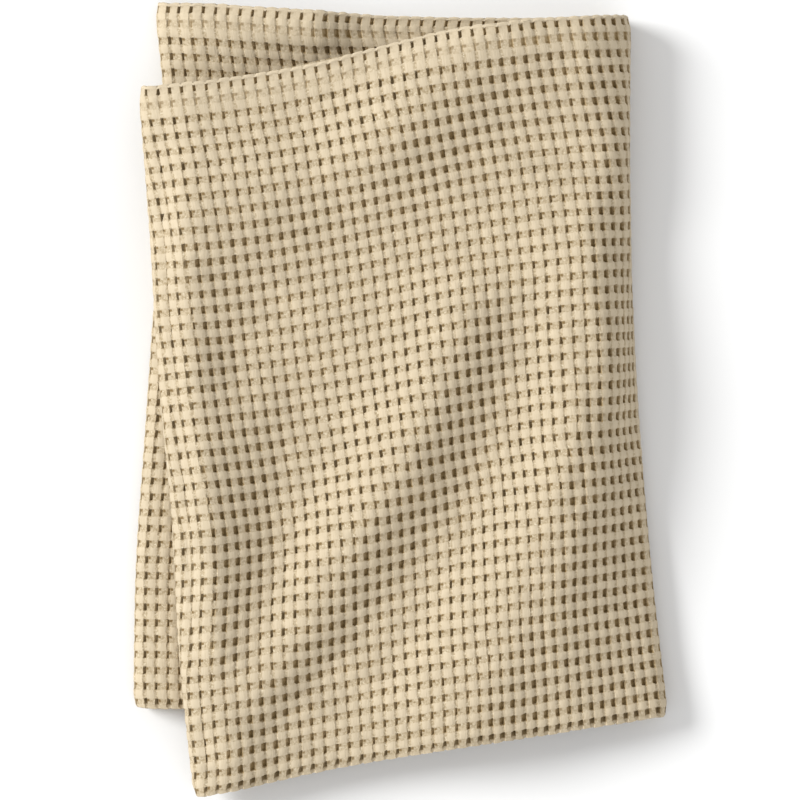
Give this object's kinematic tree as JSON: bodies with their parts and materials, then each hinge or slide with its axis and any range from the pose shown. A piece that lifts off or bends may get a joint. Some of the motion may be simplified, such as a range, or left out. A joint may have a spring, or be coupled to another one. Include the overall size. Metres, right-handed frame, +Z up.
{
  "type": "waffle weave cotton blanket",
  "caption": "Waffle weave cotton blanket, hemmed at its ends, doubled across its length, folded like a book and laid flat, its upper half turned a little on the lower.",
  "frame": {"origin": "centre of the folded blanket's footprint, on the surface it lies on", "axes": "+Z up out of the surface, +Y along the folded blanket towards its hems, +X across it towards the big rounded fold"},
  "size_m": [0.338, 0.5037, 0.0602],
  "materials": {
    "waffle_cotton": "matt sand cotton in a waffle weave"
  },
  "bodies": {
    "root": {"blanket": "waffle_cotton"}
  },
  "joints": []
}
